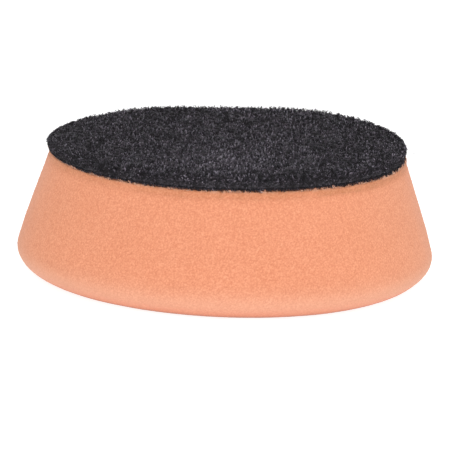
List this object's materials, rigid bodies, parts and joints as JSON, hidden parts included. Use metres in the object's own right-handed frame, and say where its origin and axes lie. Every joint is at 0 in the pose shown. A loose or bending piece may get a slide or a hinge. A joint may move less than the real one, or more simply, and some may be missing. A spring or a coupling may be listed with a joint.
{
  "type": "polishing pad",
  "caption": "Round tapered foam polishing pad with a rounded lower edge and a bonded disc of brushed loop fabric on its narrow end.",
  "frame": {"origin": "centre of the flat polishing face", "axes": "+Z along the axis that the pad turns about, from the polishing face towards the loop fabric"},
  "size_m": [0.08, 0.08, 0.0267],
  "materials": {
    "foam": "matt open-cell polyurethane foam, salmon orange",
    "adhesive": "thin cloudy hot-melt film, tinted by the foam",
    "loop_ground": "matt black knitted nylon",
    "loop_pile": "brushed charcoal nylon loops with a soft sheen"
  },
  "bodies": {
    "backing": {"adhesive_film": "adhesive", "loop_cloth": "loop_ground", "loop_pile": "loop_pile"},
    "foam": {"foam_pad": "foam"}
  },
  "joints": [
    {"name": "foam_compression", "type": "slide", "parent": "backing", "child": "foam", "axis": [0, 0, 1], "range_m": [0, 0.008], "stiffness_N_per_m": 3000, "deforming": ["foam_pad"]}
  ]
}
